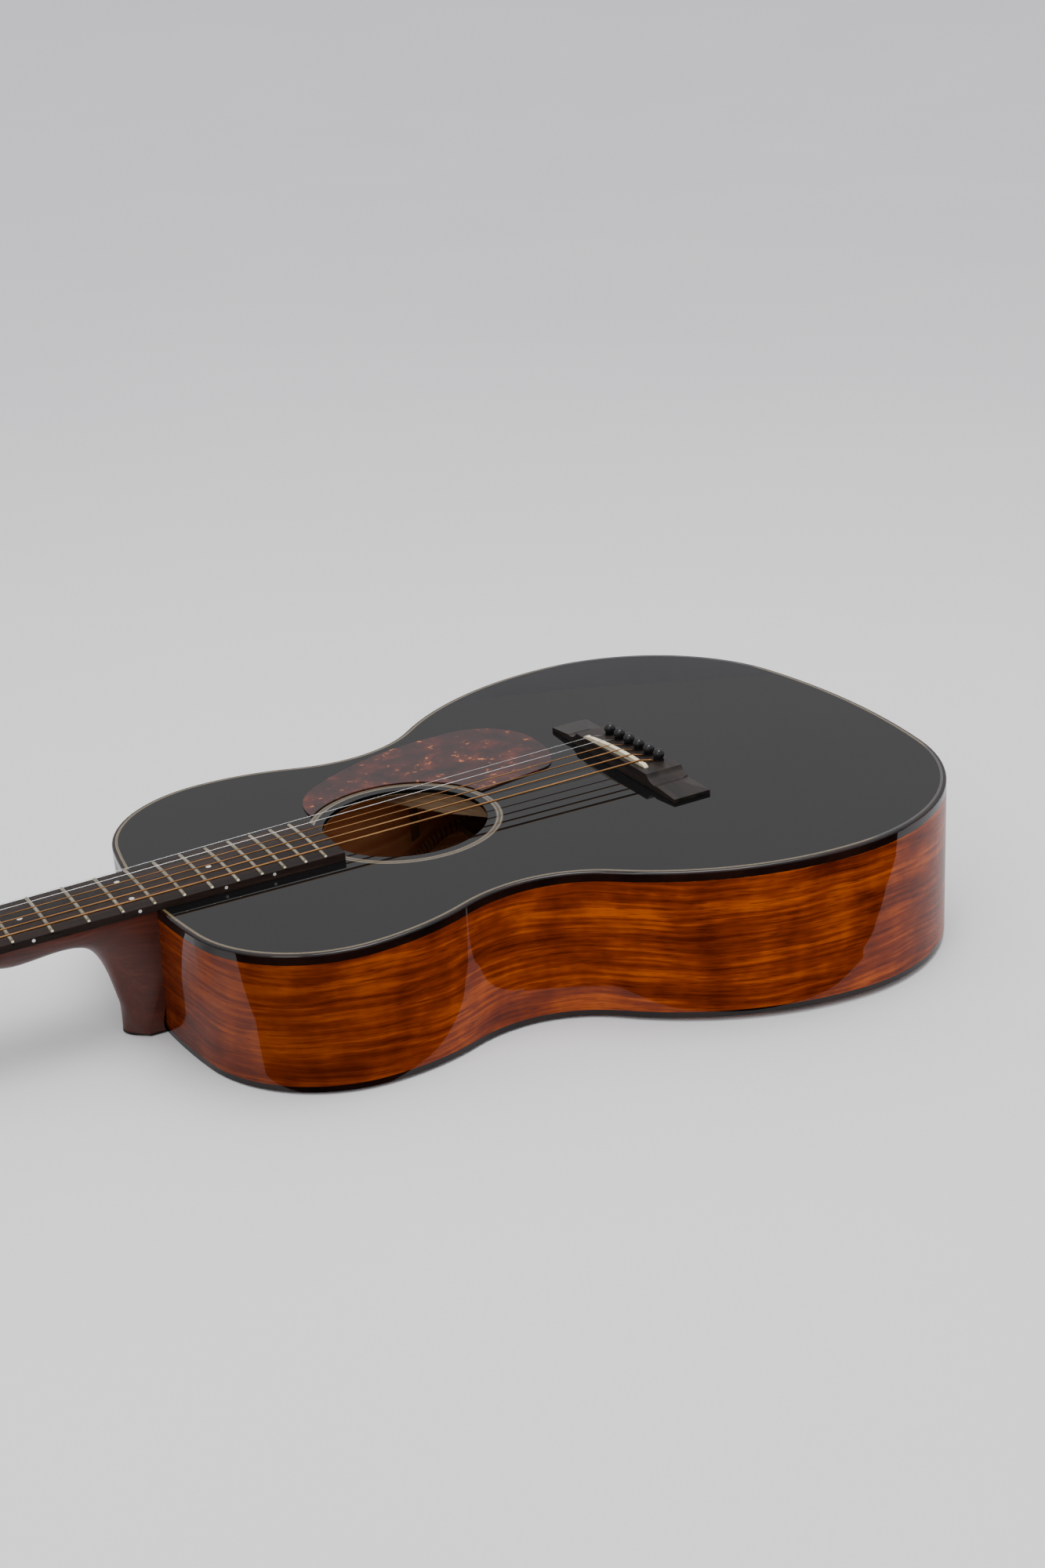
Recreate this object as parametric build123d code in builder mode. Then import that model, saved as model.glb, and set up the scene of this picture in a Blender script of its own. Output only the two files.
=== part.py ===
"""Twelve-fret steel-string guitar lying on its arched back.

Part frame: +X towards the tail, +Y towards the treble side, +Z up. The back's lowest line lies on
z = 0. The "deck" is the plane of the soundboard's outer face, which falls towards the neck
because the body is shallower there; most pieces are drawn on the deck or on planes set off it.
"""
from build123d import *
from math import asin, atan2, cos, degrees, radians, sin, sqrt
import os

os.makedirs("parts", exist_ok=True)

# ---------------------------------------------------------------- driving dimensions (mm)
scale_length = 632.5
fret_count = 19
joint_x = -13.0              # the twelfth fret, where the neck meets the body

body_length = 508.0
heel_depth = 85.0            # body depth at the neck
tail_depth = 108.0
upper_x, upper_half = 87.0, 138.0
waist_x, waist_half = 184.0, 118.0
lower_x, lower_half = 373.0, 191.0
neck_end_radius = 400.0
tail_end_radius = 470.0
upper_share = 0.63           # share of the upper S-curve's radii that its convex arc takes
lower_share = 0.72           # the same for the lower S-curve
back_arch_radius = 4500.0

top_thickness = 2.8
back_thickness = 2.6
side_thickness = 2.2
binding_height = 6.0
back_binding_height = 3.6
binding_round = 1.5
purfling_width = 1.7
purfling_depth = 1.4
lining_width = 6.0
lining_height = 13.0

hole_x, hole_radius = 170.0, 50.8
rosette_inner, rosette_outer = 56.0, 60.4
rosette_depth = 1.0

nut_width = 46.0
board_width_12 = 55.2
board_end = 117.0            # end of the fretboard, measured from the twelfth fret
board_thickness = 5.4
board_radius = 406.0
neck_pitch = 0.34            # degrees that the neck leans back from the deck
nut_length = 5.7

bridge_front, bridge_back = 317.0, 343.0
bridge_half = 76.2
block_half, cove_half = 43.5, 55.5
block_height, ridge_height, tip_height = 8.6, 4.3, 2.5
saddle_x, saddle_slant = 320.8, 4.6
saddle_length, saddle_width = 70.0, 3.0
saddle_depth = 5.0
pin_x, pin_slant = 335.0, 1.9
pin_spread = 57.0
pin_hole_radius = 2.45
string_lead = 4.4            # each string goes down this far ahead of its pin

string_radii = [0.67, 0.53, 0.41, 0.31, 0.20, 0.15]      # bass to treble
string_names = ["low_e", "a", "d", "g", "b", "high_e"]
nut_spread = 36.6
nut_lift = 1.15              # underside of the strings over the board's face, at the nut
nut_rise = 1.4               # top of the nut over the board's face
saddle_rise = 11.9           # string axis over the deck at the saddle

head_angle = 12.0
head_length = 178.0
head_half = 31.5
head_thickness = 16.0
veneer_thickness = 1.8
slot_inner, slot_outer = 6.5, 22.5
slot_start, slot_end = 20.0, 142.0
roller_stations = [50.0, 88.0, 126.0]
roller_depth = 9.0           # roller axis below the headstock's wooden face
roller_radius = 3.1
gear_radius = 5.6
gear_teeth = 15
worm_radius = 2.0
worm_offset = 7.9            # worm axis from roller axis, along the headstock
running_gap = 0.06

plate_thickness = 2.6
ball_radius = 1.9
graft_half = 6.0
end_pin_drop = 54.0
pin_shaft_radius = 4.0
tenon_half, tenon_length, tenon_drop = 10.0, 12.0, 70.0
block_half_width = 36.0
neck_block_length, tail_block_length = 58.0, 20.0
rod_radius, rod_drop = 3.0, 9.4
rod_nut_x = 68.0
heel_half, heel_reach = 12.5, 22.8
heel_clearance = 0.6
cap_thickness = 1.6
screw_radius, screw_length = 1.1, 8.0
plate_wall = 1.2
fret_width, fret_height = 2.3, 1.0
tang_width, tang_depth = 0.6, 1.6
dot_radius, side_dot_radius, dot_depth = 1.6, 1.0, 1.5
pin_ball = 3.7
button_length = 13.0
gear_width = 3.5

# ---------------------------------------------------------------- reference planes
tilt = degrees(asin((tail_depth - heel_depth) / body_length))


def leaning_plane(origin, angle):
    """A plane whose x axis points to the tail and climbs at the given angle."""
    a = radians(angle)
    return Plane(origin=origin, x_dir=(cos(a), 0, sin(a)), z_dir=(-sin(a), 0, cos(a)))


def across(base, x, z=0):
    """Cross-section plane at x along a base plane: sketch x is the part's Y, sketch y is up."""
    return Plane(origin=base.from_local_coords((x, 0, z)), x_dir=(0, 1, 0), z_dir=base.x_dir)


def along(base, y=0):
    """Long-section plane at the given Y: sketch x runs along the base plane, sketch y is up."""
    return Plane(origin=base.from_local_coords((0, y, 0)), x_dir=base.x_dir, z_dir=(0, -1, 0))


deck = leaning_plane((joint_x, 0, heel_depth), tilt)
neck_plane = leaning_plane((joint_x, 0, heel_depth), tilt + neck_pitch)
deck_up = Axis(deck.origin, deck.z_dir)
nut_front = -scale_length / 2
nut_back = nut_front - nut_length
head_plane = leaning_plane(neck_plane.from_local_coords((nut_back, 0, 0)), tilt + neck_pitch + head_angle)
bass_y = -1
treble_y = 1
hands = {"bass": bass_y, "treble": treble_y}


def fret_x(number):
    """Distance of a fret from the twelfth, positive towards the saddle."""
    return scale_length * (0.5 - 2 ** (-number / 12))


def board_half(x):
    """Half the fretboard's width at a distance from the twelfth fret."""
    return (board_width_12 + (board_width_12 - nut_width) * x / (scale_length / 2)) / 2


# ---------------------------------------------------------------- body outline
def end_blend_radius(reach, half_width, end_radius):
    """Radius that joins an end arc centred on the centre line to a widest point."""
    return (2 * reach * end_radius - reach**2 - half_width**2) / (2 * (end_radius - half_width))


def body_outline(inset=0.0):
    """The body's plan on XY: tangent arcs through its two widest points and its waist."""
    shoulder = end_blend_radius(upper_x, upper_half, neck_end_radius)
    corner = end_blend_radius(body_length - lower_x, lower_half, tail_end_radius)
    neck_turn = degrees(atan2(upper_half - shoulder, neck_end_radius - upper_x))
    tail_turn = degrees(atan2(lower_half - corner, tail_end_radius - (body_length - lower_x)))
    upper_run, upper_drop = waist_x - upper_x, upper_half - waist_half
    lower_run, lower_drop = lower_x - waist_x, lower_half - waist_half
    upper_sum = (upper_run**2 + upper_drop**2) / (2 * upper_drop)
    lower_sum = (lower_run**2 + lower_drop**2) / (2 * lower_drop)
    upper_turn = degrees(atan2(upper_run, upper_sum - upper_drop))
    lower_turn = degrees(atan2(lower_run, lower_sum - lower_drop))
    bends = [
        (neck_end_radius, -neck_turn),
        (shoulder, neck_turn - 90),
        (upper_sum * upper_share, -upper_turn),
        (upper_sum * (1 - upper_share), upper_turn),
        (lower_sum * (1 - lower_share), lower_turn),
        (lower_sum * lower_share, -lower_turn),
        (corner, tail_turn - 90),
        (tail_end_radius, -tail_turn),
    ]
    with BuildSketch(Plane.XY) as plan:
        with BuildLine():
            point, heading = Vector(0, 0), Vector(0, 1)
            for radius, turn in bends:
                bend = JernArc(start=point, tangent=heading, radius=radius, arc_size=turn)
                point, heading = bend @ 1, bend % 1
            mirror(about=Plane.XZ)
        make_face()
        if inset:
            offset(amount=-inset)
    return plan.sketch


def rim(inset, width):
    """A band that follows the body outline, from an inset inwards."""
    with BuildSketch(Plane.XY) as band:
        add(body_outline(inset))
        add(body_outline(inset + width), mode=Mode.SUBTRACT)
    return band.sketch


def above_back(lift):
    """Everything that lies more than a lift above the back's outer, arched face."""
    radius = back_arch_radius - lift
    half = lower_half + 20
    edge = back_arch_radius - sqrt(radius**2 - half**2)
    with BuildPart() as space:
        with BuildSketch(Plane.YZ.offset(joint_x - 60)):
            with BuildLine():
                ThreePointArc((half, edge), (0, lift), (-half, edge))
                Polyline((-half, edge), (-half, 160), (half, 160), (half, edge))
            make_face()
        extrude(amount=body_length + 120)
    return space.part


inner_inset = side_thickness
box_floor = above_back(back_thickness)
table_side = above_back(0)
body_depth_over = tail_depth + 20

# ---------------------------------------------------------------- strings: shared route
string_share = [i / 5 - 0.5 for i in range(6)]           # -0.5 bass ... +0.5 treble


def saddle_line_x(y):
    """The saddle slants: the bass end lies further from the nut."""
    return saddle_x - saddle_slant * y / saddle_length


def pin_place(i):
    """Plan position of a bridge pin."""
    return pin_x - pin_slant * string_share[i], pin_spread * string_share[i]


def roller_place(i):
    """Headstock station and Y of the coil that a string makes on its roller."""
    hand = bass_y if i < 3 else treble_y
    rank = i if i < 3 else 5 - i
    return roller_stations[rank], hand * [18.6, 15.8, 13.8][rank]


def board_crown(x, y):
    """Height of the fretboard's face over the neck plane."""
    return board_thickness - (board_radius - sqrt(board_radius**2 - y**2))


def string_run(i, extra=0.0):
    """One string from the top of its roller, over nut and saddle, down beside its pin."""
    r = string_radii[i]
    station, coil_y = roller_place(i)
    nut_y = nut_spread * string_share[i]
    px, py = pin_place(i)
    saddle_y = py * 0.95
    sx = saddle_line_x(saddle_y)
    nut_mid = nut_front - nut_length / 2
    crest = saddle_rise - (board_radius - sqrt(board_radius**2 - saddle_y**2))
    roller_top = roller_radius + running_gap + r - roller_depth
    route = [
        head_plane.from_local_coords((-station, coil_y, roller_top)),
        neck_plane.from_local_coords((nut_mid, nut_y, board_crown(nut_mid, nut_y) + nut_lift + r)),
        deck.from_local_coords((sx, saddle_y, crest)),
        deck.from_local_coords((px - string_lead, py, block_height + r + 0.3)),
        deck.from_local_coords((px - string_lead, py, -top_thickness - plate_thickness - ball_radius)),
    ]
    with BuildPart() as run:
        with BuildLine() as path:
            FilletPolyline(*route, radius=[6.0, 2.5, 1.6])
        start = Plane(origin=path.line @ 0, z_dir=path.line % 0)
        with BuildSketch(start):
            Circle(r + extra)
        sweep()
    return run.part


string_slots = [string_run(i, extra=0.12) for i in range(6)]

# ---------------------------------------------------------------- soundboard and its trim
def rosette_ring():
    """The rosette's plan: a ring round the sound hole that stops at the fretboard."""
    with BuildSketch(Plane.XY) as ring:
        with Locations((hole_x, 0)):
            Circle(rosette_outer)
            Circle(rosette_inner, mode=Mode.SUBTRACT)
        with Locations((board_end - 20, 0)):
            Rectangle(40, 2 * board_half(board_end), mode=Mode.SUBTRACT)
    return ring.sketch


with BuildPart() as top:
    with BuildSketch(deck):
        add(body_outline(inner_inset))
        with Locations((hole_x, 0)):
            Circle(hole_radius, mode=Mode.SUBTRACT)
    extrude(amount=-top_thickness)
    with BuildSketch(deck):
        add(rim(inner_inset, purfling_width))
    extrude(amount=-purfling_depth, mode=Mode.SUBTRACT)
    with BuildSketch(deck):
        add(rosette_ring())
    extrude(amount=-rosette_depth, mode=Mode.SUBTRACT)
    with BuildSketch(deck):
        for i in range(6):
            with Locations(pin_place(i)):
                Circle(pin_hole_radius)
    extrude(amount=-top_thickness, mode=Mode.SUBTRACT)
    for slot in string_slots:
        add(slot, mode=Mode.SUBTRACT)

with BuildPart() as top_purfling:
    with BuildSketch(deck):
        add(rim(inner_inset, purfling_width))
    extrude(amount=-purfling_depth)

with BuildPart() as rosette:
    with BuildSketch(deck):
        add(rosette_ring())
    extrude(amount=-rosette_depth)

with BuildPart() as top_binding:
    with BuildSketch(deck):
        add(rim(0, side_thickness))
    extrude(amount=-binding_height)
    outer_top = top_binding.faces().sort_by(deck_up)[-1].outer_wire().edges()
    fillet(outer_top, radius=binding_round)

# ---------------------------------------------------------------- pickguard
with BuildPart() as pickguard:
    with BuildSketch(deck):
        with BuildLine():
            ThreePointArc((126, 40), (130, 66), (146, 84))
            ThreePointArc((146, 84), (197, 108), (250, 115))
            ThreePointArc((250, 115), (286, 103), (299, 68))
            ThreePointArc((299, 68), (297, 46), (290, 30))
            ThreePointArc((290, 30), (285, 24), (276, 21))
            Polyline((276, 21), (226, 12), (hole_x, 0), (126, 40))
        make_face()
        with Locations((hole_x, 0)):
            Circle(rosette_outer + 0.4, mode=Mode.SUBTRACT)
    extrude(amount=0.9)

# ---------------------------------------------------------------- back, its trim and the sides
with BuildPart() as back:
    with BuildSketch(deck):
        add(body_outline(inner_inset))
    extrude(amount=-body_depth_over)
    add(table_side, mode=Mode.INTERSECT)
    add(box_floor, mode=Mode.SUBTRACT)

with BuildPart() as back_binding:
    with BuildSketch(deck):
        add(rim(0, side_thickness))
    extrude(amount=-body_depth_over)
    add(table_side, mode=Mode.INTERSECT)
    add(above_back(back_binding_height), mode=Mode.SUBTRACT)

tail_wall = across(deck, body_length, -end_pin_drop)
with BuildPart() as rim_wall:
    with BuildSketch(deck.offset(-binding_height)):
        add(rim(0, side_thickness))
    extrude(amount=-body_depth_over)
    add(above_back(back_binding_height), mode=Mode.INTERSECT)

with BuildPart() as end_graft:
    add(rim_wall.part)
    with BuildSketch(deck):
        with Locations((body_length - 10, 0)):
            Rectangle(30, 2 * graft_half)
    extrude(amount=-body_depth_over, mode=Mode.INTERSECT)
    with BuildSketch(tail_wall.offset(-24)):
        Circle(pin_shaft_radius)
    extrude(amount=24, mode=Mode.SUBTRACT)

sides = {}
for side_name, hand in hands.items():
    with BuildPart() as side:
        add(rim_wall.part)
        with BuildSketch(deck):
            with Locations((body_length / 2, hand * 150)):
                Rectangle(body_length + 40, 300)
        extrude(amount=-body_depth_over, mode=Mode.INTERSECT)
        with BuildSketch(deck):
            with Locations((body_length - 10, 0)):
                Rectangle(30, 2 * graft_half)
        extrude(amount=-body_depth_over, mode=Mode.SUBTRACT)
        with BuildSketch(deck.offset(-binding_height)):
            Rectangle(20, 2 * tenon_half)
        extrude(amount=binding_height - tenon_drop, mode=Mode.SUBTRACT)
    sides[side_name] = side

# ---------------------------------------------------------------- end pin for a strap
with BuildPart() as end_pin:
    with BuildSketch(Plane(origin=tail_wall.origin, x_dir=tail_wall.z_dir, z_dir=(0, -1, 0))):
        with BuildLine():
            Polyline((0.8, pin_shaft_radius), (-22, pin_shaft_radius), (-22, 0), (9.8, 0))
            ThreePointArc((9.8, 0), (9.2, 4.2), (7.0, 6.8))
            Line((7.0, 6.8), (5.4, 6.8))
            ThreePointArc((5.4, 6.8), (3.2, 4.6), (2.0, 6.2))
            Polyline((2.0, 6.2), (0.8, 6.2), (0.8, pin_shaft_radius))
        make_face()
    revolve(axis=Axis(tail_wall.origin, tail_wall.z_dir))

# ---------------------------------------------------------------- blocks and linings inside
with BuildPart() as neck_block:
    with BuildSketch(deck.offset(-top_thickness)):
        add(body_outline(inner_inset))
        with Locations((neck_block_length / 2, 0)):
            Rectangle(neck_block_length, 2 * block_half_width, mode=Mode.INTERSECT)
    extrude(amount=-body_depth_over)
    add(box_floor, mode=Mode.INTERSECT)
    with BuildSketch(deck.offset(-binding_height)):
        Rectangle(2 * tenon_length, 2 * tenon_half)
    extrude(amount=binding_height - tenon_drop, mode=Mode.SUBTRACT)
    with BuildSketch(deck):
        with Locations((neck_block_length / 2, 0)):
            Rectangle(neck_block_length, 2 * rod_radius)
    extrude(amount=-rod_drop - rod_radius, mode=Mode.SUBTRACT)

with BuildPart() as tail_block:
    with BuildSketch(deck.offset(-top_thickness)):
        add(body_outline(inner_inset))
        with Locations((body_length - tail_block_length / 2, 0)):
            Rectangle(tail_block_length, 2 * block_half_width, mode=Mode.INTERSECT)
    extrude(amount=-body_depth_over)
    add(box_floor, mode=Mode.INTERSECT)
    with BuildSketch(tail_wall.offset(-24)):
        Circle(pin_shaft_radius)
    extrude(amount=24, mode=Mode.SUBTRACT)

with BuildPart() as block_room:
    with BuildSketch(deck):
        with Locations((neck_block_length / 2, 0)):
            Rectangle(neck_block_length, 2 * block_half_width)
        with Locations((body_length - tail_block_length / 2, 0)):
            Rectangle(tail_block_length, 2 * block_half_width)
    extrude(amount=-body_depth_over)

lining_steps = [(0.0, lining_width), (5.0, lining_width - 2), (9.0, lining_width - 4)]
with BuildPart() as top_lining:
    for drop, width in lining_steps:
        with BuildSketch(deck.offset(-top_thickness - drop)):
            add(rim(inner_inset, width))
        extrude(amount=drop - lining_height)
    add(block_room.part, mode=Mode.SUBTRACT)

with BuildPart() as back_lining:
    for drop, width in lining_steps:
        with BuildSketch(deck):
            add(rim(inner_inset, width))
        extrude(amount=-body_depth_over)
        add(above_back(back_thickness + lining_height - drop), mode=Mode.SUBTRACT)
    add(box_floor, mode=Mode.INTERSECT)
    add(block_room.part, mode=Mode.SUBTRACT)

# ---------------------------------------------------------------- braces
brace_gap = 0.3
brace_angle, brace_cross = 50.0, 247.0
with BuildPart() as brace_room:
    with BuildSketch(deck.offset(-top_thickness)):
        add(body_outline(inner_inset + lining_width + brace_gap))
    extrude(amount=-body_depth_over)
    add(block_room.part, mode=Mode.SUBTRACT)


def top_bar(x, y, angle, reach, width, height, tip=2.5):
    """A brace glued under the top: full height at its middle, feathered towards both ends."""
    run = deck.x_dir * cos(radians(angle)) + deck.y_dir * sin(radians(angle))
    foot = deck.from_local_coords((x, y, -top_thickness))
    elevation = Plane(origin=foot, x_dir=run, z_dir=deck.z_dir.cross(run))
    back_reach, front_reach = reach
    with BuildPart() as bar:
        with BuildSketch(elevation.offset(-width / 2)):
            with BuildLine():
                Polyline((-back_reach, tip), (-back_reach, 0), (front_reach, 0), (front_reach, tip))
                ThreePointArc((front_reach, tip), (front_reach * 0.6, height * 0.62), (front_reach * 0.25, height))
                Line((front_reach * 0.25, height), (-back_reach * 0.25, height))
                ThreePointArc((-back_reach * 0.25, height), (-back_reach * 0.6, height * 0.62), (-back_reach, tip))
            make_face()
        extrude(amount=width)
        add(brace_room.part, mode=Mode.INTERSECT)
    return bar.part


x_width, x_height = 8.0, 15.0


def lap(depth, start):
    """Half of the joint where the two long braces cross."""
    with BuildPart() as half_lap:
        with BuildSketch(deck.offset(-top_thickness - start)):
            with Locations((brace_cross, 0)):
                Rectangle(60, x_width, rotation=brace_angle)
                Rectangle(60, x_width, rotation=-brace_angle, mode=Mode.INTERSECT)
        extrude(amount=-depth)
    return half_lap.part


x_brace_bass_cut = lap(x_height, x_height / 2)
x_brace_treble_cut = lap(x_height / 2, 0)
with BuildPart() as x_brace_bass:
    add(top_bar(brace_cross, 0, -brace_angle, (190, 220), x_width, x_height))
    add(x_brace_bass_cut, mode=Mode.SUBTRACT)

with BuildPart() as x_brace_treble:
    add(top_bar(brace_cross, 0, brace_angle, (190, 220), x_width, x_height))
    add(x_brace_treble_cut, mode=Mode.SUBTRACT)

with BuildPart() as upper_brace:
    add(top_bar(84, 0, 90, (130, 130), 12.0, 14.0, tip=5.0))

with BuildPart() as tone_bars:
    add(top_bar(380, 0, -70, (100, 100), 6.5, 10.0))
    add(top_bar(430, 0, -70, (92, 92), 6.5, 10.0))

with BuildPart() as finger_braces:
    for hand in hands.values():
        add(top_bar(282, hand * 102, hand * 140, (32, 32), 6.0, 8.0))
        add(top_bar(330, hand * 142, hand * 140, (20, 20), 6.0, 8.0))

with BuildPart() as bridge_plate:
    with BuildSketch(deck.offset(-top_thickness)):
        with Locations(((bridge_front + bridge_back) / 2, 0)):
            Rectangle(42, 130)
        for i in range(6):
            with Locations(pin_place(i)):
                Circle(pin_hole_radius, mode=Mode.SUBTRACT)
    extrude(amount=-plate_thickness)
    for slot in string_slots:
        add(slot, mode=Mode.SUBTRACT)


def back_bar(x, width, height):
    """A brace across the inside of the back, from lining to lining."""
    reach = lower_half
    rise = back_thickness + reach**2 / (2 * back_arch_radius)
    with BuildPart() as bar:
        with BuildSketch(Plane.YZ.offset(joint_x + x - width / 2)):
            with BuildLine():
                Polyline((-reach, rise + 3), (-reach, 0), (reach, 0), (reach, rise + 3))
                ThreePointArc((reach, rise + 3), (reach * 0.7, height * 0.72), (reach * 0.35, height))
                Line((reach * 0.35, height), (-reach * 0.35, height))
                ThreePointArc((-reach * 0.35, height), (-reach * 0.7, height * 0.72), (-reach, rise + 3))
            make_face()
        extrude(amount=width)
        add(brace_room.part, mode=Mode.INTERSECT)
        add(box_floor, mode=Mode.INTERSECT)
    return bar.part


with BuildPart() as back_braces:
    for x, width, height in ((76, 8, 17), (176, 8, 17), (292, 16, 14), (396, 16, 14)):
        add(back_bar(x, width, height))

with BuildPart() as back_strip:
    with BuildSketch(Plane.XY):
        with Locations((joint_x + body_length / 2 + 15, 0)):
            Rectangle(body_length - 100, 16)
    extrude(amount=back_thickness + 1.8)
    add(box_floor, mode=Mode.INTERSECT)
    add(back_braces.part, mode=Mode.SUBTRACT)

with BuildPart() as side_strips:
    with BuildSketch(deck.offset(-top_thickness - lining_height)):
        add(rim(inner_inset, 1.0))
        with Locations((110, 0), (235, 0), (330, 0), (425, 0)):
            Rectangle(9, 2 * lower_half, mode=Mode.INTERSECT)
    extrude(amount=-body_depth_over)
    add(above_back(back_thickness + lining_height), mode=Mode.INTERSECT)

# ---------------------------------------------------------------- neck, heel and headstock
shaft_start = nut_back - 16
heel_start = -90.0
heel_pivot = Vector(-62.0, 0, -86.0)     # the curve of the heel sweeps round this point
shaft_depth_nut, shaft_depth_heel = 15.5, 17.2
skirt = 9.0


def half_oval(half, depth):
    """A neck section: a half ellipse that hangs from a short straight-sided skirt."""
    with BuildSketch(Plane.XY) as section:
        with BuildLine():
            EllipticalCenterArc((0, 0), half, depth, start_angle=180, arc_size=180)
            Polyline((half, 0), (half, skirt), (-half, skirt), (-half, 0))
        make_face()
    return section.sketch


def heel_section_plane(lean):
    """A section plane through the heel's pivot, leaning back from upright by an angle."""
    a = radians(lean)
    reach = min(-heel_pivot.Z / cos(a) if lean < 89 else 1e9, -heel_pivot.X / sin(a) if lean else 1e9)
    spine = (heel_pivot.X + reach * sin(a), 0, heel_pivot.Z + reach * cos(a))
    facing = deck.x_dir * cos(a) - deck.z_dir * sin(a)
    return Plane(origin=deck.from_local_coords(spine), x_dir=(0, 1, 0), z_dir=facing)


with BuildPart() as heel_form:
    with BuildSketch(across(neck_plane, heel_start)):
        add(half_oval(board_half(heel_start), shaft_depth_heel))
    for lean, half, depth in (
        (0, board_half(-62), shaft_depth_heel + 0.3),
        (22, 27.0, 25.0),
        (37, 25.2, 45.5),
        (60, 18.6, 25.6),
        (90, heel_half, heel_reach),
    ):
        with BuildSketch(heel_section_plane(lean)):
            add(half_oval(half, depth))
    loft()


def head_outline():
    """The headstock's face with its two string slots, from the nut (x = 0) to its end."""
    with BuildSketch(Plane.XY) as face:
        with BuildLine():
            flare = ThreePointArc((0, nut_width / 2), (-9, nut_width / 2 + 1.8), (-18, head_half))
            Polyline(flare @ 1, (-head_length + 3, head_half), (-head_length, head_half - 3))
            Line((-head_length, head_half - 3), (-head_length, 0))
            Line((0, 0), (0, nut_width / 2))
            mirror(about=Plane.XZ)
        make_hull()
    return face.sketch


slot_middle = (slot_inner + slot_outer) / 2
slot_width = slot_outer - slot_inner
with BuildPart() as head_slots:
    with BuildSketch(head_plane.offset(veneer_thickness)):
        with Locations((-(slot_start + slot_end) / 2, slot_middle), (-(slot_start + slot_end) / 2, -slot_middle)):
            RectangleRounded(slot_end - slot_start, slot_width, 3.0)
    extrude(amount=-head_thickness - veneer_thickness)
    for outer_y in (slot_outer, -slot_inner):
        with BuildSketch(along(head_plane, outer_y)):
            Polygon((-8, veneer_thickness), (-slot_start - 4, veneer_thickness), (-slot_start - 4, -9), align=None)
        extrude(amount=slot_width)

with BuildPart() as roller_holes:
    for station in roller_stations:
        for hand in hands.values():
            place = head_plane.from_local_coords((-station, hand * (head_half + 1), -roller_depth))
            with BuildSketch(Plane(origin=place, z_dir=(0, -hand, 0))):
                Circle(roller_radius + running_gap)
            extrude(amount=head_half)

screw_stations = [33.0, 69.0, 107.0, 143.0]
with BuildPart() as tuner_screws:
    for station in screw_stations:
        for hand in hands.values():
            place = head_plane.from_local_coords((-station, hand * (head_half + plate_wall), -roller_depth))
            with BuildSketch(Plane(origin=place, z_dir=(0, -hand, 0))):
                Circle(screw_radius)
            extrude(amount=screw_length)
            with BuildSketch(Plane(origin=place, z_dir=(0, hand, 0))):
                Circle(2.0)
            extrude(amount=0.9, taper=25)

with BuildPart() as body_space:
    with BuildSketch(deck.offset(40)):
        add(body_outline())
        with Locations((60, 0)):
            Rectangle(120, 120, mode=Mode.INTERSECT)
    extrude(amount=-body_depth_over - 40)

with BuildPart() as over_neck:
    with BuildSketch(neck_plane):
        with Locations((-100, 0)):
            Rectangle(-2 * nut_back - 244, 120)
        with Locations((nut_back / 2, 0)):
            Rectangle(-nut_back + 20, 120)
    extrude(amount=40)
    with BuildSketch(head_plane):
        with Locations((-50, 0)):
            Rectangle(100, 120)
    extrude(amount=40)

with BuildPart() as truss_rod:
    rod_start = -300.0
    with BuildSketch(across(deck, rod_start, -rod_drop)):
        Circle(rod_radius)
    extrude(amount=rod_nut_x - 8 - rod_start)
    with BuildSketch(across(deck, rod_nut_x - 8, -rod_drop)):
        RegularPolygon(radius=4.2, side_count=6)
        Circle(2.0, mode=Mode.SUBTRACT)
    extrude(amount=8)

with BuildPart() as rod_channel:
    with BuildSketch(across(deck, rod_start, -rod_drop)):
        Circle(rod_radius)
        with Locations((0, 8)):
            Rectangle(2 * rod_radius, 16)
    extrude(amount=-rod_start + tenon_length + 1)

with BuildPart() as neck:
    with BuildSketch(across(neck_plane, shaft_start)):
        add(half_oval(nut_width / 2 - 0.2, shaft_depth_nut))
    with BuildSketch(across(neck_plane, heel_start)):
        add(half_oval(board_half(heel_start), shaft_depth_heel))
    loft(ruled=True)
    add(heel_form.part)
    add(body_space.part, mode=Mode.SUBTRACT)
    with BuildSketch(Plane.XY.offset(heel_clearance + cap_thickness)):
        Rectangle(1200, 200)
    extrude(amount=-60, mode=Mode.SUBTRACT)
    with BuildSketch(head_plane):
        add(head_outline())
    extrude(amount=-head_thickness)
    add(over_neck.part, mode=Mode.SUBTRACT)
    with BuildSketch(deck.offset(-binding_height)):
        with Locations((tenon_length / 2 - 1, 0)):
            Rectangle(tenon_length + 2, 2 * tenon_half)
    extrude(amount=binding_height - tenon_drop)
    add(rod_channel.part, mode=Mode.SUBTRACT)
    add(head_slots.part, mode=Mode.SUBTRACT)
    add(roller_holes.part, mode=Mode.SUBTRACT)
    add(tuner_screws.part, mode=Mode.SUBTRACT)

with BuildPart() as heel_cap:
    add(heel_form.part)
    add(body_space.part, mode=Mode.SUBTRACT)
    with BuildSketch(Plane.XY.offset(heel_clearance)):
        with Locations((joint_x, 0)):
            Rectangle(200, 200)
    extrude(amount=cap_thickness, mode=Mode.INTERSECT)

with BuildPart() as headstock_veneer:
    with BuildSketch(head_plane):
        add(head_outline())
    extrude(amount=veneer_thickness)
    with BuildSketch(neck_plane):
        with Locations((nut_back + 20, 0)):
            Rectangle(40, 120)
    extrude(amount=20, both=True, mode=Mode.SUBTRACT)
    add(head_slots.part, mode=Mode.SUBTRACT)

# ---------------------------------------------------------------- fretboard, frets and dots
deck_drop = board_end * sin(radians(neck_pitch))


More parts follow.
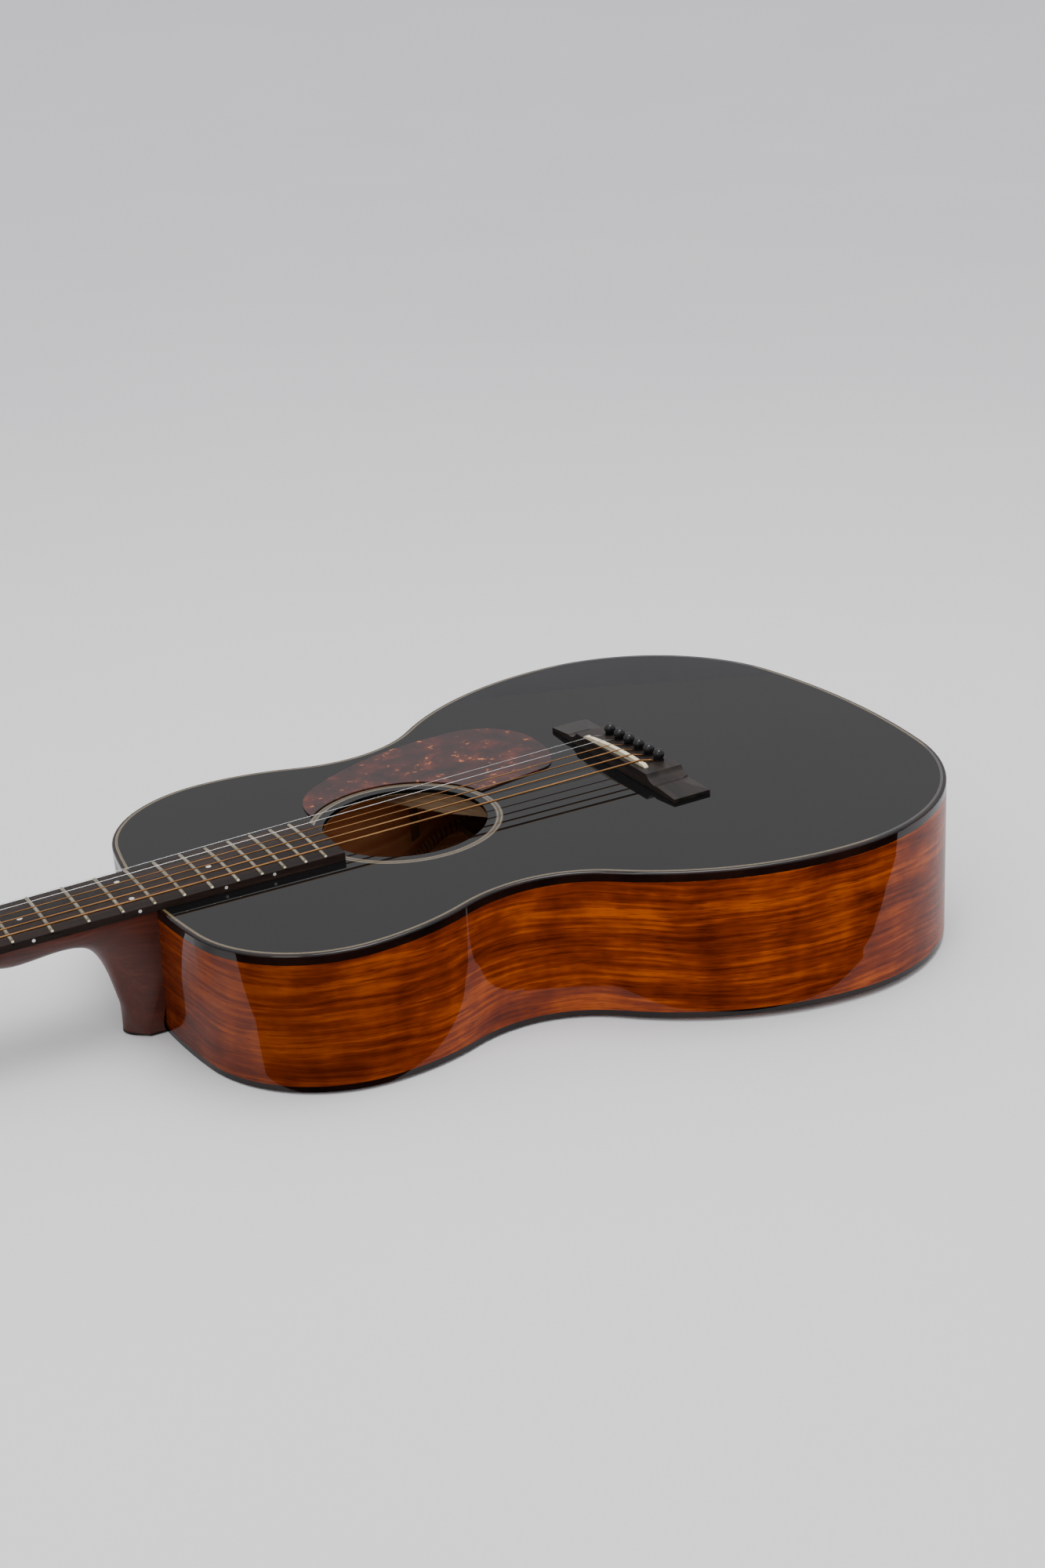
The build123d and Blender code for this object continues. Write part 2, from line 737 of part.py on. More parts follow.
def board_profile(x, bottom=0.0):
    """Fretboard section: flat below, arched above."""
    half = board_half(x)
    edge = board_crown(x, half)
    with BuildSketch(Plane.XY) as section:
        with BuildLine():
            ThreePointArc((-half, edge), (0, board_thickness), (half, edge))
            Polyline((half, edge), (half, bottom), (-half, bottom), (-half, edge))
        make_face()
    return section.sketch


def fret_profile(x, height, depth):
    """Section of what stands above (height) or sinks into (depth) the arched fretboard."""
    half = board_half(x)
    edge = board_crown(x, half)
    with BuildSketch(Plane.XY) as section:
        with BuildLine():
            ThreePointArc((-half, edge + height), (0, board_thickness + height), (half, edge + height))
            Line((half, edge + height), (half, edge - depth))
            ThreePointArc((half, edge - depth), (0, board_thickness - depth), (-half, edge - depth))
            Line((-half, edge - depth), (-half, edge + height))
        make_face()
    return section.sketch


dot_pairs = {12: (-13.4, 13.4)}
fret_stations = [fret_x(n) for n in range(1, fret_count + 1)]

with BuildPart() as board_blank:
    for x, bottom in ((nut_front, 0), (1, 0), (board_end, -deck_drop)):
        with BuildSketch(across(neck_plane, x)):
            add(board_profile(x, bottom))
    loft(ruled=True)

with BuildPart() as dot_holes:
    for number in (5, 7, 9, 12, 15):
        middle = (fret_x(number) + fret_x(number - 1)) / 2
        with BuildSketch(neck_plane.offset(board_thickness - dot_depth - 0.2)):
            with Locations([(middle, y) for y in dot_pairs.get(number, (0,))]):
                Circle(dot_radius)
        extrude(amount=4)

with BuildPart() as side_dot_holes:
    for number in (3, 5, 7, 9, 12, 15, 17):
        middle = (fret_x(number) + fret_x(number - 1)) / 2
        edge = neck_plane.from_local_coords((middle, -board_half(middle) + dot_depth, board_thickness / 2))
        with BuildSketch(Plane(origin=edge, z_dir=(0, -1, 0))):
            Circle(side_dot_radius)
        extrude(amount=4)

with BuildPart() as fret_dots:
    add(board_blank.part)
    add(dot_holes.part, mode=Mode.INTERSECT)

with BuildPart() as side_dots:
    add(board_blank.part)
    add(side_dot_holes.part, mode=Mode.INTERSECT)

with BuildPart() as frets:
    for x in fret_stations:
        with BuildSketch(across(neck_plane, x - fret_width / 2)):
            add(fret_profile(x, fret_height, 0))
        extrude(amount=fret_width)
        with BuildSketch(across(neck_plane, x - tang_width / 2)):
            add(fret_profile(x, 0.4, tang_depth))
        extrude(amount=tang_width)

with BuildPart() as fretboard:
    add(board_blank.part)
    for x in fret_stations:
        with BuildSketch(across(neck_plane, x - tang_width / 2)):
            add(fret_profile(x, 1, tang_depth))
        extrude(amount=tang_width, mode=Mode.SUBTRACT)
    add(dot_holes.part, mode=Mode.SUBTRACT)
    add(side_dot_holes.part, mode=Mode.SUBTRACT)

with BuildPart() as nut:
    half = nut_width / 2
    top_edge = board_crown(nut_front, half) + nut_rise
    with BuildSketch(across(neck_plane, nut_back)):
        with BuildLine():
            ThreePointArc((-half, top_edge), (0, board_thickness + nut_rise), (half, top_edge))
            Polyline((half, top_edge), (half, 0), (-half, 0), (-half, top_edge))
        make_face()
    extrude(amount=nut_length)
    for slot in string_slots:
        add(slot, mode=Mode.SUBTRACT)

# ---------------------------------------------------------------- bridge, saddle and pins
saddle_turn = degrees(atan2(saddle_slant, saddle_length))
with BuildPart() as bridge:
    with BuildSketch(across(deck, bridge_front)):
        with BuildLine():
            Polyline((0, 0), (bridge_half, 0), (bridge_half, tip_height), (cove_half, ridge_height))
            ThreePointArc((cove_half, ridge_height), (47.2, 5.2), (block_half, block_height))
            Line((block_half, block_height), (0, block_height))
            mirror(about=Plane.YZ)
        make_face()
    extrude(amount=bridge_back - bridge_front)
    for hand in hands.values():
        ridge_foot = deck.from_local_coords((333.0, hand * cove_half, ridge_height))
        ridge_tip = deck.from_local_coords((bridge_back, hand * bridge_half, tip_height))
        ridge = (ridge_tip - ridge_foot).normalized()
        rearward = deck.z_dir.cross(ridge).normalized() * -hand
        facet = Plane(origin=ridge_foot, x_dir=rearward, z_dir=ridge * -hand)
        with BuildSketch(facet):
            Polygon((0, 0), (20, -2.3), (20, 12), (0, 12), align=None)
        extrude(amount=-hand * 40, mode=Mode.SUBTRACT)
    for i in range(6):
        with BuildSketch(deck.offset(block_height)):
            with Locations(pin_place(i)):
                Circle(pin_hole_radius)
        extrude(amount=-block_height, mode=Mode.SUBTRACT)
    with BuildSketch(deck.offset(block_height)):
        with Locations((saddle_x, 0)):
            Rectangle(saddle_width, saddle_length, rotation=saddle_turn)
    extrude(amount=-saddle_depth, mode=Mode.SUBTRACT)
    for slot in string_slots:
        add(slot, mode=Mode.SUBTRACT)

with BuildPart() as saddle:
    foot = deck.from_local_coords((saddle_x, 0, block_height - saddle_depth))
    length_dir = deck.y_dir * cos(radians(saddle_turn)) - deck.x_dir * sin(radians(saddle_turn))
    end_rise = saddle_rise - block_height + saddle_depth - 1.6
    crest_rise = end_rise + 1.5
    with BuildSketch(Plane(origin=foot, x_dir=length_dir, z_dir=length_dir.cross(deck.z_dir))):
        with BuildLine():
            half = saddle_length / 2
            ThreePointArc((5 - half, end_rise), (0, crest_rise), (half - 5, end_rise))
            ThreePointArc((half - 5, end_rise), (half - 1.4, end_rise - 0.8), (half, end_rise - 2.6))
            Polyline((half, end_rise - 2.6), (half, 0), (-half, 0), (-half, end_rise - 2.6))
            ThreePointArc((-half, end_rise - 2.6), (1.4 - half, end_rise - 0.8), (5 - half, end_rise))
        make_face()
    extrude(amount=saddle_width / 2, both=True)
    for slot in string_slots:
        add(slot, mode=Mode.SUBTRACT)

pin_neck = sqrt(pin_ball**2 - 2.8**2)
with BuildPart() as bridge_pins:
    for i in range(6):
        px, py = pin_place(i)
        root = deck.from_local_coords((px, py, block_height))
        with BuildSketch(Plane(origin=root, x_dir=deck.x_dir, z_dir=(0, -1, 0))):
            with BuildLine():
                Polyline((0, -22), (1.9, -22), (2.4, -1), (2.4, 0.2), (3.4, 0.2), (3.4, 1.2), (pin_neck, 1.2))
                ThreePointArc((pin_neck, 1.2), (pin_ball, 4.0), (0, 4.0 + pin_ball))
                Line((0, 4.0 + pin_ball), (0, -22))
            make_face()
        revolve(axis=Axis(root, deck.z_dir))

# ---------------------------------------------------------------- strings
strings = {}
for i in range(6):
    r = string_radii[i]
    station, coil_y = roller_place(i)
    px, py = pin_place(i)
    coil = head_plane.from_local_coords((-station, coil_y - 3 * r, -roller_depth))
    ball = deck.from_local_coords((px - string_lead, py - ball_radius, -top_thickness - plate_thickness - ball_radius))
    with BuildPart() as string:
        add(string_run(i))
        with BuildSketch(Plane(origin=coil, z_dir=(0, 1, 0))):
            Circle(roller_radius + running_gap + 2 * r)
            Circle(roller_radius + running_gap, mode=Mode.SUBTRACT)
        extrude(amount=6 * r)
        with BuildSketch(Plane(origin=ball, z_dir=(0, 1, 0))):
            Circle(ball_radius)
        extrude(amount=2 * ball_radius)
    strings[string_names[i]] = string

# ---------------------------------------------------------------- tuning machines
plate_start, plate_end = 28.0, 148.0
lug_thickness = 1.4
lug_drop_top, lug_drop_bottom = 1.8, head_thickness
journal_radius = 1.4
gear_side = head_half + plate_wall + 0.4
worm_y = gear_side + gear_width / 2
button_drop = head_thickness + 4.0


def side_plane(station, y):
    """A plane that faces outwards from the headstock's edge, at a roller station."""
    place = head_plane.from_local_coords((-station, y, -roller_depth))
    return Plane(origin=place, x_dir=head_plane.x_dir, z_dir=(0, 1 if y > 0 else -1, 0))


plates, posts, buttons = {}, {}, {}
for side_name, hand in hands.items():
    with BuildPart() as tuner_plate:
        with BuildSketch(side_plane((plate_start + plate_end) / 2, hand * head_half)):
            with Locations((0, -hand * (roller_depth - head_thickness / 2))):
                RectangleRounded(plate_end - plate_start, head_thickness - 0.6, 3.0)
        extrude(amount=plate_wall)
        for station in roller_stations:
            for drop in (lug_drop_top, lug_drop_bottom):
                with BuildSketch(head_plane.offset(-drop)):
                    with Locations((worm_offset - station, hand * (head_half + 3.4))):
                        Rectangle(6.4, 6.8)
                    with Locations((worm_offset - station, hand * (worm_y + 0.4))):
                        Circle(3.2)
                    with Locations((worm_offset - station, hand * worm_y)):
                        Circle(journal_radius + running_gap, mode=Mode.SUBTRACT)
                extrude(amount=lug_thickness)
            with BuildSketch(side_plane(station, hand * (head_half - 1))):
                Circle(roller_radius + running_gap)
            extrude(amount=plate_wall + 2, mode=Mode.SUBTRACT)
        add(tuner_screws.part, mode=Mode.SUBTRACT)
    plates[side_name] = tuner_plate

for i in range(6):
    hand = bass_y if i < 3 else treble_y
    station, coil_y = roller_place(i)
    name = string_names[i]
    with BuildPart() as post:
        with BuildSketch(side_plane(station, hand * 1.4)):
            Circle(roller_radius)
        extrude(amount=gear_side - 1.4)
        with BuildSketch(side_plane(station, hand * gear_side)):
            Circle(gear_radius - 0.7)
            with PolarLocations(gear_radius - 0.75, gear_teeth):
                Trapezoid(1.5, 1.3, 74, rotation=-90)
        extrude(amount=gear_width)
        with BuildSketch(side_plane(station, hand * (gear_side + gear_width))):
            Circle(2.2)
        extrude(amount=1.0, taper=20)
    posts[name] = post

    top_of_worm = -lug_drop_top - 0.2
    foot_of_worm = lug_thickness - lug_drop_bottom + 0.2
    with BuildPart() as button:
        with BuildSketch(head_plane.offset(foot_of_worm)):
            with Locations((worm_offset - station, hand * worm_y)):
                Circle(worm_radius)
        extrude(amount=top_of_worm - foot_of_worm)
        with BuildSketch(head_plane.offset(-button_drop)):
            with Locations((worm_offset - station, hand * worm_y)):
                Circle(journal_radius)
        extrude(amount=button_drop - lug_drop_top + lug_thickness + 0.4)
        with BuildSketch(head_plane.offset(-button_drop)):
            with Locations((worm_offset - station, hand * worm_y)):
                Circle(2.6)
        extrude(amount=2.4)
        with BuildSketch(head_plane.offset(-button_drop)):
            with Locations((worm_offset - station, hand * worm_y)):
                RectangleRounded(17, 6.8, 3.3)
        extrude(amount=-button_length)
        button_face = button.faces().sort_by(Axis(head_plane.origin, head_plane.z_dir))[0]
        fillet(button_face.edges(), radius=1.2)
    buttons[name] = button

# ---------------------------------------------------------------- names and files
pieces = {
    "top": top, "top_purfling": top_purfling, "rosette": rosette, "top_binding": top_binding,
    "pickguard": pickguard, "back": back, "back_binding": back_binding, "end_graft": end_graft,
    "side_bass": sides["bass"], "side_treble": sides["treble"], "end_pin": end_pin,
    "neck_block": neck_block, "tail_block": tail_block, "top_lining": top_lining,
    "back_lining": back_lining, "x_brace_bass": x_brace_bass, "x_brace_treble": x_brace_treble,
    "upper_brace": upper_brace, "tone_bars": tone_bars, "finger_braces": finger_braces,
    "bridge_plate": bridge_plate, "back_braces": back_braces, "back_strip": back_strip,
    "side_strips": side_strips, "neck": neck, "heel_cap": heel_cap,
    "headstock_veneer": headstock_veneer, "truss_rod": truss_rod, "fretboard": fretboard,
    "frets": frets, "fret_dots": fret_dots, "side_dots": side_dots, "nut": nut, "bridge": bridge,
    "saddle": saddle, "bridge_pins": bridge_pins, "tuner_screws": tuner_screws,
}
for side_name in hands:
    pieces["tuner_plate_" + side_name] = plates[side_name]
for name in string_names:
    pieces["string_" + name] = strings[name]
    pieces["tuner_post_" + name] = posts[name]
    pieces["tuner_button_" + name] = buttons[name]
for name, piece in pieces.items():
    piece.part.label = name
    export_step(piece.part, "parts/" + name + ".step")
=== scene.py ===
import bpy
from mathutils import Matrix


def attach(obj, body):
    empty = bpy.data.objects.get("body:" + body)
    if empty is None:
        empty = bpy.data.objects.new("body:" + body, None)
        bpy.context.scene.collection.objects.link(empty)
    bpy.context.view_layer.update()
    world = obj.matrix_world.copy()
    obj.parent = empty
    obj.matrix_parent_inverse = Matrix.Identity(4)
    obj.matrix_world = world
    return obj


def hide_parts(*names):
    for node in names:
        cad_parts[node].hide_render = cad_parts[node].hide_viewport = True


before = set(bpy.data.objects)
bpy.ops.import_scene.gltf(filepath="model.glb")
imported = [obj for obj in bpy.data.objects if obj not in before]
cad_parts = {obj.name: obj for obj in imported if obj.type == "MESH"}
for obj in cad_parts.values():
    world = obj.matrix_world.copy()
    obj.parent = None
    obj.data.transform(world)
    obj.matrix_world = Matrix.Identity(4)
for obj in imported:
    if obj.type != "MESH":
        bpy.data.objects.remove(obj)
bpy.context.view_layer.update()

from math import asin, cos, pi, radians, sin, sqrt

import bpy
from mathutils import Vector
from mathutils.kdtree import KDTree

# ---------------------------------------------------------------- camera
# The viewer stands on the bass side, a little towards the neck, and looks down
# along the body to its tail.
camera_data = bpy.data.cameras.new("camera")
camera_data.lens = 47.67
camera = bpy.data.objects.new("camera", camera_data)
camera.location = (-0.332, -1.072, 0.581)
camera.rotation_euler = (radians(68.40), radians(1.40), radians(-28.60))
bpy.context.scene.collection.objects.link(camera)
bpy.context.scene.camera = camera

# ---------------------------------------------------------------- paper floor
# Pale grey studio paper, matte with a faint tooth, lies flat under the guitar and
# sweeps up into a wall far behind it.


class Value:
    """A number that changes over a surface. A sum on it adds Math nodes to its finish."""

    def __init__(self, finish, socket):
        self.finish, self.socket = finish, socket

    def maths(self, operation, *terms):
        return self.finish.node("ShaderNodeMath", {"operation": operation}, dict(enumerate(terms)))

    def __add__(self, other):
        return self.maths("ADD", self, other)

    def __sub__(self, other):
        return self.maths("SUBTRACT", self, other)

    def __rsub__(self, other):
        return self.maths("SUBTRACT", other, self)

    def __mul__(self, other):
        return self.maths("MULTIPLY", self, other)

    def __mod__(self, other):
        return self.maths("FLOORED_MODULO", self, other)

    def __gt__(self, other):
        return self.maths("GREATER_THAN", self, other)

    def __lt__(self, other):
        return self.maths("LESS_THAN", self, other)

    __radd__, __rmul__ = __add__, __mul__

    def rise(self, low, high):
        """0 below low, 1 above high, and smooth between them."""
        return self.finish.node("ShaderNodeMapRange", {"interpolation_type": "SMOOTHSTEP"}, {
            "Value": self, "From Min": low, "From Max": high})


class Finish:
    """One material: its coordinates are the guitar's own, in metres."""

    def __init__(self, name, **constants):
        self.material = bpy.data.materials.new(name)
        self.material.use_nodes = True
        self.tree = self.material.node_tree
        self.shader = self.tree.nodes["Principled BSDF"]
        for socket, value in constants.items():
            self.shader.inputs[socket.replace("_", " ")].default_value = value
        self.place = self.node("ShaderNodeTexCoord", {}, {}, "Object")

    def node(self, kind, settings, sockets, output=0):
        node = self.tree.nodes.new(kind)
        stops = settings.get("stops", [])
        for name, value in settings.items():
            if name != "stops":
                setattr(node, name, value)
        for i, (position, colour) in enumerate(stops):
            ramp = node.color_ramp.elements
            stop = ramp[i] if i < 2 else ramp.new(position)
            stop.position, stop.color = position, (*colour, 1)
        for name, value in sockets.items():
            if isinstance(value, Value):
                self.tree.links.new(value.socket, node.inputs[name])
            elif isinstance(node.inputs[name].default_value, float):
                node.inputs[name].default_value = value
            else:
                count = len(node.inputs[name].default_value)
                node.inputs[name].default_value = (*value, 1)[:count]
        return Value(self, node.outputs[output])

    def stretched(self, x, y, z, place=None):
        """The coordinates times a number of cycles per metre on each axis."""
        return self.node("ShaderNodeVectorMath", {"operation": "MULTIPLY"}, {
            0: place or self.place, 1: (x, y, z)})

    def shifted(self, *vectors):
        return self.node("ShaderNodeVectorMath", {"operation": "ADD"}, dict(enumerate(vectors)))

    def noise(self, place, scale=1.0, detail=2.0, rough=0.5):
        return self.node("ShaderNodeTexNoise", {}, {
            "Vector": place, "Scale": scale, "Detail": detail, "Roughness": rough}, "Fac")

    def warp(self, scale, amount):
        """The coordinates, pushed about by up to half the amount."""
        colour = self.node("ShaderNodeTexNoise", {}, {
            "Vector": self.place, "Scale": scale, "Detail": 2.0}, "Color")
        centred = self.node("ShaderNodeVectorMath", {"operation": "SUBTRACT"}, {
            0: colour, 1: (0.5, 0.5, 0.5)})
        pushed = self.node("ShaderNodeVectorMath", {"operation": "SCALE"}, {0: centred, "Scale": amount})
        return self.shifted(self.place, pushed)

    def height_over(self, point, direction):
        """Distance of the surface from a plane through a point, along a direction."""
        along = self.node("ShaderNodeVectorMath", {"operation": "DOT_PRODUCT"}, {
            0: self.place, 1: direction}, "Value")
        return along - Vector(point).dot(Vector(direction))

    def axis(self, name):
        return self.node("ShaderNodeSeparateXYZ", {}, {0: self.place}, name)

    def mix(self, share, one, other):
        return self.node("ShaderNodeMix", {"data_type": "RGBA"}, {0: share, 6: one, 7: other}, 2)

    def ramp(self, value, *stops):
        return self.node("ShaderNodeValToRGB", {"stops": stops}, {0: value})

    def surface(self, **links):
        for socket, value in links.items():
            self.tree.links.new(value.socket, self.shader.inputs[socket.replace("_", " ")])

    def bump(self, height, distance, strength=1.0):
        self.surface(Normal=self.node("ShaderNodeBump", {}, {
            "Strength": strength, "Distance": distance, "Height": height}))

    def paint(self, *names):
        for name in names:
            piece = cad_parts.get(name) or bpy.data.objects[name]
            if piece.material_slots:
                for place in piece.material_slots:
                    place.material = self.material
            else:
                piece.data.materials.append(self.material)


def mesh_piece(name, points, faces, smooth=True):
    mesh = bpy.data.meshes.new(name)
    mesh.from_pydata([tuple(p) for p in points], [], faces)
    mesh.validate()
    mesh.shade_smooth() if smooth else mesh.shade_flat()
    piece = bpy.data.objects.new(name, mesh)
    bpy.context.scene.collection.objects.link(piece)
    return piece


spokes = 48
rings = [(0.4, 0), (1.0, 0), (2.5, 0), (5.0, 0), (6.5, 0.12), (8.0, 0.5), (9.2, 1.3), (10.0, 2.6), (10.2, 4.0)]
floor_points, floor_faces = [(0, 0, 0)], []
for radius, rise in rings:
    for k in range(spokes):
        angle = 2 * pi * k / spokes
        floor_points.append((radius * cos(angle), radius * sin(angle), rise))
for k in range(spokes):
    beside = (k + 1) % spokes
    floor_faces.append((0, 1 + k, 1 + beside))
    for ring in range(len(rings) - 1):
        inner, outer = 1 + ring * spokes, 1 + (ring + 1) * spokes
        floor_faces.append((inner + k, outer + k, outer + beside, inner + beside))
floor = mesh_piece("paper_floor", floor_points, floor_faces)

paper = Finish("pale paper", Roughness=0.85)
tooth = paper.noise(paper.place, 420.0, 3.0)
cloud = paper.noise(paper.place, 1.6, 3.0)
paper.surface(Base_Color=paper.mix(cloud, (0.70, 0.70, 0.715), (0.76, 0.76, 0.77)))
paper.bump(tooth + paper.noise(paper.place, 22.0, 2.0) * 2.0, 0.0004, 0.35)
paper.paint("paper_floor")

# ---------------------------------------------------------------- studio light
# One large soft box hangs over the guitar, a second one fills from the neck side, and
# the room's pale ceiling gives an even light. A black flag lies in front of the guitar,
# out of sight, and gives the polished side its dark, sharp-edged reflections.
room = bpy.data.worlds.new("pale room")
room.use_nodes = True
sky = room.node_tree.nodes["Background"]
way = room.node_tree.nodes.new("ShaderNodeTexCoord")
split = room.node_tree.nodes.new("ShaderNodeSeparateXYZ")
ceiling = room.node_tree.nodes.new("ShaderNodeMapRange")
for socket, value in (("From Min", 0.30), ("From Max", 0.85), ("To Min", 0.55), ("To Max", 1.55)):
    ceiling.inputs[socket].default_value = value
room.node_tree.links.new(way.outputs["Generated"], split.inputs[0])
room.node_tree.links.new(split.outputs["Z"], ceiling.inputs[0])
room.node_tree.links.new(ceiling.outputs["Result"], sky.inputs["Strength"])
sky.inputs["Color"].default_value = (0.98, 0.98, 1.0, 1)
bpy.context.scene.world = room
for name, place, aim, width, depth, power in (
    ("overhead soft box", (0.35, -0.25, 1.9), (0.1, 0, 0), 1.3, 0.9, 24.0),
    ("fill soft box", (-1.5, -1.2, 1.5), (0, -0.1, 0.05), 0.8, 0.8, 10.0),
):
    light = bpy.data.lights.new(name, "AREA")
    light.shape, light.size, light.size_y, light.energy = "RECTANGLE", width, depth, power
    lamp = bpy.data.objects.new(name, light)
    lamp.location = place
    lamp.rotation_euler = (Vector(aim) - Vector(place)).to_track_quat("-Z", "Y").to_euler()
    bpy.context.scene.collection.objects.link(lamp)

flag_edge = [
    (-0.75, -0.10), (-0.146, -0.088), (-0.060, -0.116), (0.000, -0.112), (0.050, -0.132), (0.100, -0.146),
    (0.150, -0.154), (0.200, -0.160), (0.245, -0.170), (0.292, -0.187), (0.350, -0.210), (0.400, -0.238),
    (0.450, -0.262), (0.507, -0.281), (0.567, -0.286), (1.2, -0.50), (1.2, -1.0), (-0.75, -1.0)]
over_paper = 0.0008
flag_points = [(x, y, over_paper) for x, y in flag_edge]
flag = mesh_piece("black_flag", flag_points, [tuple(range(len(flag_edge)))], smooth=False)
flag.visible_camera = flag.visible_diffuse = flag.visible_shadow = flag.visible_transmission = False
cloth = Finish("black flag cloth", Roughness=1.0, Specular_IOR_Level=0.0)
cloth.surface(Base_Color=cloth.ramp(
    cloth.noise(cloth.place, 300.0), (0.3, (0.001, 0.001, 0.001)), (0.7, (0.003, 0.003, 0.003))))
cloth.paint("black_flag")

# ---------------------------------------------------------------- soundboard
# A thin spruce plate, bare inside the box, sprayed with black lacquer outside and
# polished to a mirror that still shows a few faint polishing swirls.
body_length, heel_depth, tail_depth, plate_thickness = 0.508, 0.085, 0.108, 0.0027
deck_tilt = asin((tail_depth - heel_depth) / body_length)
deck_point = Vector((-0.013, 0, heel_depth))
deck_run = Vector((cos(deck_tilt), 0, sin(deck_tilt)))
deck_up = Vector((-sin(deck_tilt), 0, cos(deck_tilt)))


def on_deck(x, y, z=0.0):
    """A point given along, across and over the soundboard, from the twelfth fret."""
    return deck_point + deck_run * x + Vector((0, y, 0)) + deck_up * z


black = Finish("black lacquer", Coat_Roughness=0.015, Coat_IOR=1.5, Specular_IOR_Level=0.0)
swirl = black.noise(black.warp(6.0, 0.06), 9.0, 3.0)
grain_line = black.noise(black.stretched(3, 900, 3), 1.0, 2.0)
spruce_inside = black.ramp(grain_line, (0.3, (0.50, 0.33, 0.17)), (0.7, (0.68, 0.49, 0.28)))
lacquered = black.mix(swirl, (0.003, 0.003, 0.003), (0.006, 0.0055, 0.006))
under = black.height_over(on_deck(0, 0, -plate_thickness), deck_up) < 0.0
black.surface(
    Base_Color=black.mix(under, lacquered, spruce_inside), Roughness=0.18 + swirl * 0.12 + under * 0.4,
    Coat_Weight=(1 - under) * 0.68)
black.paint("top")

# ---------------------------------------------------------------- edge lines and rosette
# Cream and dark wood-fibre lines are let into the soundboard round its edge and round
# the sound hole, then levelled and lacquered over.
lines = Finish("cream and dark lines", Coat_Weight=0.5, Coat_Roughness=0.03, Roughness=0.35)
hole_from_neck = 0.170
inner_line, middle_line, outer_line = 0.0565, (0.0575, 0.0589), 0.0599
from_hole = lines.node("ShaderNodeVectorMath", {"operation": "DISTANCE"}, {
    0: lines.place, 1: on_deck(hole_from_neck, 0)}, "Value")
dark_ring = (from_hole > middle_line[0]) * (from_hole < middle_line[1])
ring_edge = (from_hole < inner_line) + (from_hole > outer_line)


def cream_fibre(finish):
    fibre = finish.noise(finish.place, 900.0, 2.0)
    return finish.ramp(fibre, (0.35, (0.105, 0.070, 0.026)), (0.7, (0.175, 0.122, 0.050)))


lines.surface(Base_Color=lines.mix(dark_ring + ring_edge, cream_fibre(lines), (0.012, 0.010, 0.009)))
lines.paint("rosette")

edge_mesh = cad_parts["top_purfling"].data.copy()
edge_line = bpy.data.objects.new("edge_line", edge_mesh)
bpy.context.scene.collection.objects.link(edge_line)
outer_rim = [v.co.copy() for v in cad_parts["top_binding"].data.vertices]
across_mesh = edge_mesh.attributes.new("across", "FLOAT", "POINT")
rim_points = KDTree(len(outer_rim))
for i, corner in enumerate(outer_rim):
    rim_points.insert(corner, i)
rim_points.balance()
touching = 0.0006
for i, vertex in enumerate(edge_mesh.vertices):
    across_mesh.data[i].value = 0.0 if rim_points.find(vertex.co)[2] < touching else 1.0
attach(edge_line, "guitar")
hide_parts("top_purfling")
edging = Finish("edge lines", Coat_Weight=0.5, Coat_Roughness=0.03, Roughness=0.35)
across = edging.node("ShaderNodeAttribute", {"attribute_name": "across"}, {}, "Fac")
dark_line = (across > 0.36) * (across < 0.52) + (across > 0.80)
edging.surface(Base_Color=edging.mix(dark_line, cream_fibre(edging), (0.014, 0.011, 0.009)))
edging.paint("edge_line")

# ---------------------------------------------------------------- bindings
# Strips of very dark, red-brown plastic are glued round both edges of the body and
# scraped round, so they catch a thin line of light.
strip = Finish("dark binding", Coat_Weight=0.75, Coat_Roughness=0.02, Roughness=0.3, Specular_IOR_Level=0.0)
mottle = strip.noise(strip.stretched(30, 30, 60), 1.0, 3.0)
strip.surface(Base_Color=strip.ramp(mottle, (0.35, (0.004, 0.002, 0.002)), (0.75, (0.016, 0.006, 0.004))))
strip.surface(Normal=strip.node("ShaderNodeBevel", {"samples": 8}, {"Radius": 0.0016}))
strip.paint("top_binding", "back_binding", "end_graft")

# ---------------------------------------------------------------- pickguard
# A thin sheet of red-brown tortoise plastic, cloudy with amber flecks, is stuck to the
# soundboard beside the sound hole. Its edge is cut square and polished.
shell = Finish("tortoise sheet", Coat_Weight=0.42, Coat_Roughness=0.05, Roughness=0.4, Specular_IOR_Level=0.1)
clouds = shell.noise(shell.warp(40.0, 0.02), 55.0, 4.0, 0.6)
flecks = shell.noise(shell.warp(90.0, 0.01), 190.0, 3.0, 0.65).rise(0.60, 0.70)
ground = shell.ramp(
    clouds, (0.30, (0.007, 0.002, 0.002)), (0.54, (0.032, 0.005, 0.004)), (0.74, (0.095, 0.016, 0.006)))
shell.surface(Base_Color=shell.mix(flecks * clouds.rise(0.42, 0.6), ground, (0.42, 0.13, 0.035)))
shell.bump(clouds, 0.0003, 0.2)
shell.paint("pickguard")

# ---------------------------------------------------------------- sides and back
# Quarter-sawn mahogany plates with ribbon figure: the sides are bent to the outline, the
# back is sprung to a shallow arch. Lacquered outside, bare inside.


def mahogany(finish, run, pale, middle, deep):
    """Ribbon figure, pores and drift; run is (x, y, z) cycles per metre of the ribbons."""
    bent = finish.warp(7.0, 0.030)
    ribbon = finish.noise(finish.stretched(*run, place=bent), 1.0, 4.0, 0.55)
    fine = finish.noise(finish.stretched(*[5 * v for v in run], place=bent), 1.0, 3.0)
    mottle = finish.noise(bent, 26.0, 3.0, 0.6)
    tone = ribbon * 0.34 + fine * 0.38 + mottle * 0.38
    body = finish.ramp(tone, (0.43, deep), (0.55, middle), (0.67, pale))
    pores = finish.noise(finish.stretched(*[22 * v for v in run]), 1.0, 1.0).rise(0.60, 0.70)
    return finish.mix(pores * 0.55, body, [0.35 * c for c in deep]), tone - pores * 0.3


